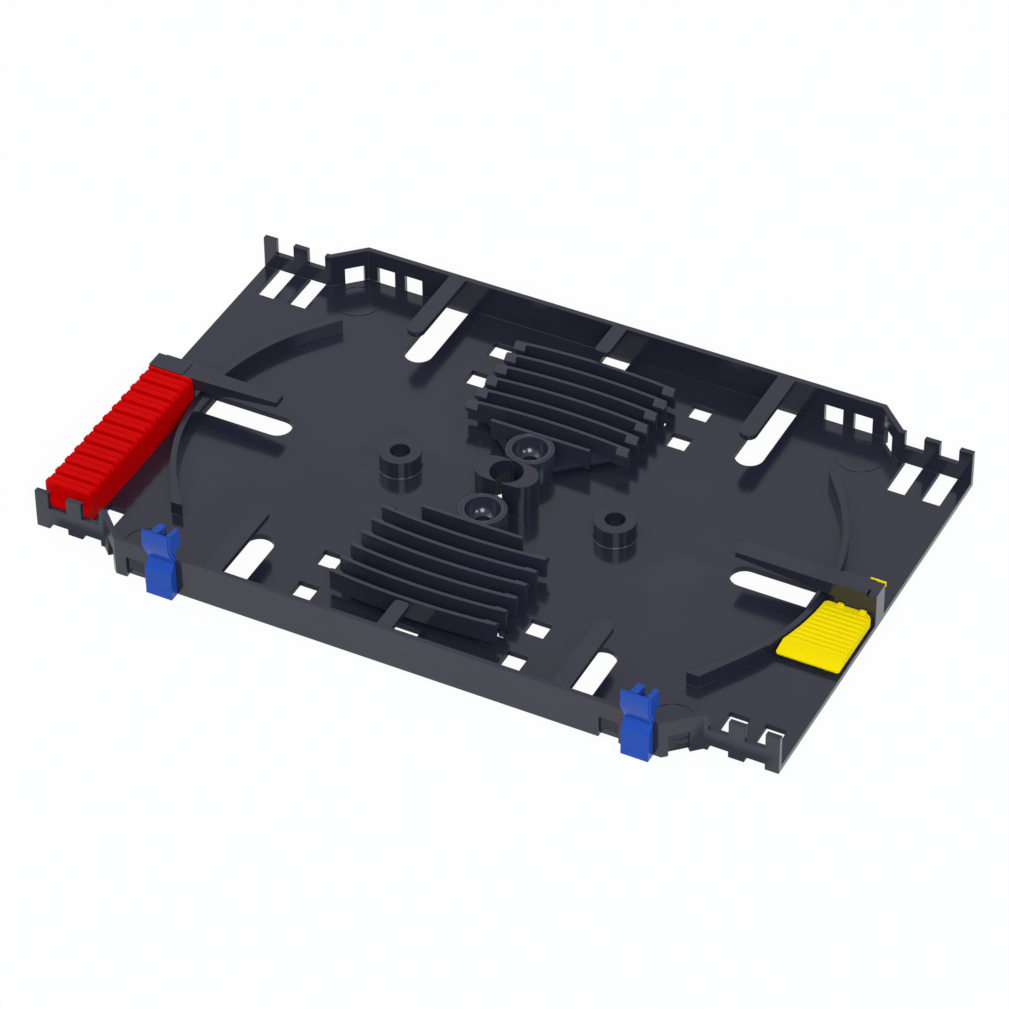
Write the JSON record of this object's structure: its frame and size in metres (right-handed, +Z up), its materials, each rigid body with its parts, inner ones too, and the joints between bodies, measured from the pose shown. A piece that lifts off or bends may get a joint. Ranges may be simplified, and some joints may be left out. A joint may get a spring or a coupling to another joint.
{
  "type": "fibre splice tray",
  "caption": "Shallow open tray for optical fibre splices, with splice combs, bend guides, holding fingers, coloured fibre combs and wall clips.",
  "frame": {"origin": "on the axis of the centre bore, at the underside of the tray floor", "axes": "+X along the long side, +Y across the tray away from the clipped wall, +Z up"},
  "size_m": [0.2, 0.1336, 0.0199],
  "materials": {
    "tray_plastic": "fine satin moulded anthracite plastic with a soft gloss",
    "comb_plastic": "semi-gloss moulded anthracite plastic",
    "red_plastic": "satin red moulded plastic",
    "yellow_plastic": "satin yellow moulded plastic",
    "blue_plastic": "satin blue moulded plastic"
  },
  "bodies": {
    "root": {"tray_base": "tray_plastic", "rear_splice_comb": "comb_plastic", "front_splice_comb": "comb_plastic", "red_fibre_comb": "red_plastic", "yellow_fibre_comb": "yellow_plastic", "yellow_post_tab": "yellow_plastic", "left_wall_clip": "blue_plastic", "right_wall_clip": "blue_plastic"}
  },
  "joints": []
}
